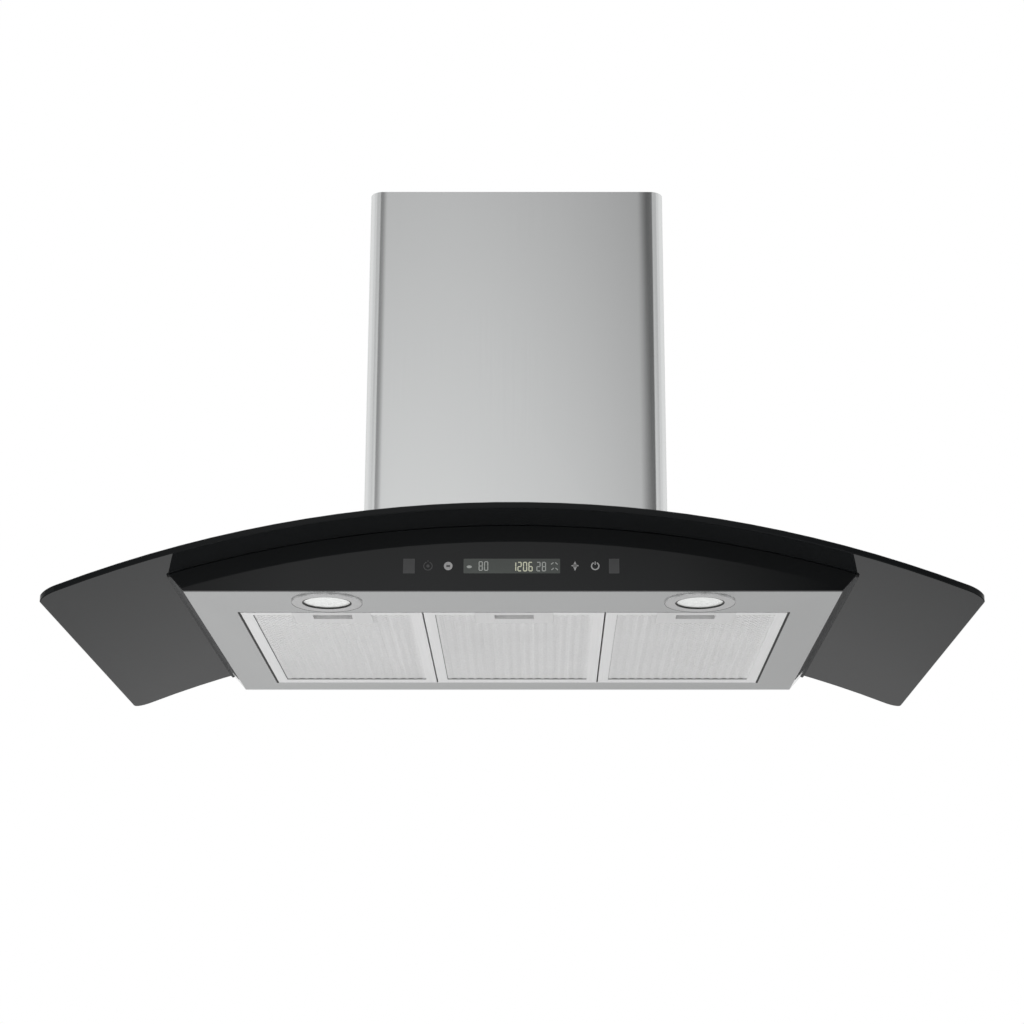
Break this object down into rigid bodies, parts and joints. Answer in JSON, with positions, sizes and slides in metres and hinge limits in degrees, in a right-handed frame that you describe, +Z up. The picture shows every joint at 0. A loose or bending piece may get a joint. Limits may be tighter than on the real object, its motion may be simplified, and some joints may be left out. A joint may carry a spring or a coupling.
{
  "type": "wall range hood",
  "caption": "Chimney wall hood with an arched dark glass canopy, flared steel body, hinged mesh filters, puck lamps, touch fascia, blower with damper and telescoping chimney.",
  "frame": {"origin": "centre of the body's back on the wall plane, level with the body's underside", "axes": "+X to the right seen from the room, +Y into the wall, +Z up"},
  "size_m": [0.9, 0.517, 0.5399],
  "materials": {
    "smoked_glass": "polished dark tempered glass with arrised edges",
    "black_glass": "back-printed black glass, polished",
    "stainless": "fine brushed",
    "galvanised": "zinc coated sheet, faint spangle",
    "spring_steel": "bright rolled",
    "screws": "zinc plated",
    "motor_steel": "black enamel",
    "cast_alloy": "cast",
    "lamp_trim": "satin anodised",
    "filter_frame": "satin rolled",
    "filter_mesh": "expanded mesh",
    "lamp_lens": "faceted, frosted",
    "black_rubber": "matt",
    "black_plastic": "moulded",
    "latch_plastic": "moulded",
    "grey_plastic": "moulded",
    "wheel_plastic": "moulded",
    "white_plastic": "moulded",
    "circuit_board": "lacquered",
    "display": "smooth"
  },
  "bodies": {
    "hood": {"body_shell": "stainless", "cable_gland": "black_plastic", "canopy_gasket": "black_rubber", "canopy_liner": "galvanised", "canopy_nuts": "screws", "canopy_screws": "screws", "canopy_washers": "black_rubber", "capacitor": "white_plastic", "capacitor_clip": "spring_steel", "chimney_brackets": "galvanised", "chimney_lower": "stainless", "chimney_screws": "screws", "chimney_seal": "black_rubber", "control_board": "circuit_board", "control_cover": "black_plastic", "control_fascia": "black_glass", "damper_rod": "spring_steel", "display_module": "display", "front_partition": "galvanised", "glass_canopy": "smoked_glass", "inlet_guard": "black_plastic", "lamp_bezel_left": "lamp_trim", "lamp_bezel_right": "lamp_trim", "lamp_board_left": "circuit_board", "lamp_board_right": "circuit_board", "lamp_driver": "white_plastic", "lamp_housing_left": "cast_alloy", "lamp_housing_right": "cast_alloy", "lamp_lens_left": "lamp_lens", "lamp_lens_right": "lamp_lens", "lamp_springs_left": "spring_steel", "lamp_springs_right": "spring_steel", "motor": "motor_steel", "motor_box": "galvanised", "motor_bracket": "spring_steel", "motor_screws": "screws", "outlet_collar": "black_plastic", "power_unit": "black_plastic", "terminal_box": "white_plastic", "terminal_lid": "white_plastic", "touch_pads": "spring_steel", "volute_front": "grey_plastic", "volute_rear": "grey_plastic"},
    "upper_chimney": {"chimney_upper": "stainless", "ceiling_bracket": "galvanised"},
    "filter_left": {"filter_frame_left": "filter_frame", "filter_mesh_left": "filter_mesh"},
    "latch_left": {"filter_latch_left": "latch_plastic"},
    "filter_centre": {"filter_frame_centre": "filter_frame", "filter_mesh_centre": "filter_mesh"},
    "latch_centre": {"filter_latch_centre": "latch_plastic"},
    "filter_right": {"filter_frame_right": "filter_frame", "filter_mesh_right": "filter_mesh"},
    "latch_right": {"filter_latch_right": "latch_plastic"},
    "wheel": {"impeller": "wheel_plastic", "impeller_shaft": "spring_steel"},
    "flap_front": {"damper_flap_front": "grey_plastic"},
    "flap_rear": {"damper_flap_rear": "grey_plastic"}
  },
  "joints": [
    {"name": "chimney_slide", "type": "slide", "parent": "hood", "child": "upper_chimney", "axis": [0, 0, 1], "range_m": [0, 0.37]},
    {"name": "filter_left_hinge", "type": "hinge", "parent": "hood", "child": "filter_left", "pos_m": [-0.1856, -0.037, 0.001], "axis": [1, 0, 0], "range_deg": [0, 60]},
    {"name": "filter_centre_hinge", "type": "hinge", "parent": "hood", "child": "filter_centre", "pos_m": [0, -0.037, 0.001], "axis": [1, 0, 0], "range_deg": [0, 60]},
    {"name": "filter_right_hinge", "type": "hinge", "parent": "hood", "child": "filter_right", "pos_m": [0.1856, -0.037, 0.001], "axis": [1, 0, 0], "range_deg": [0, 60]},
    {"name": "latch_left_slide", "type": "slide", "parent": "filter_left", "child": "latch_left", "axis": [0, 1, 0], "range_m": [0, 0.006], "stiffness_N_per_m": 400, "springref_m": -0.005},
    {"name": "latch_centre_slide", "type": "slide", "parent": "filter_centre", "child": "latch_centre", "axis": [0, 1, 0], "range_m": [0, 0.006], "stiffness_N_per_m": 400, "springref_m": -0.005},
    {"name": "latch_right_slide", "type": "slide", "parent": "filter_right", "child": "latch_right", "axis": [0, 1, 0], "range_m": [0, 0.006], "stiffness_N_per_m": 400, "springref_m": -0.005},
    {"name": "wheel_spin", "type": "hinge", "parent": "hood", "child": "wheel", "pos_m": [-0.053, -0.123, 0.1626], "axis": [0, 1, 0], "continuous": true},
    {"name": "flap_front_hinge", "type": "hinge", "parent": "hood", "child": "flap_front", "pos_m": [0, -0.123, 0.312], "axis": [-1, 0, 0], "range_deg": [0, 75]},
    {"name": "flap_rear_hinge", "type": "hinge", "parent": "hood", "child": "flap_rear", "pos_m": [0, -0.123, 0.312], "axis": [1, 0, 0], "range_deg": [0, 75]}
  ]
}
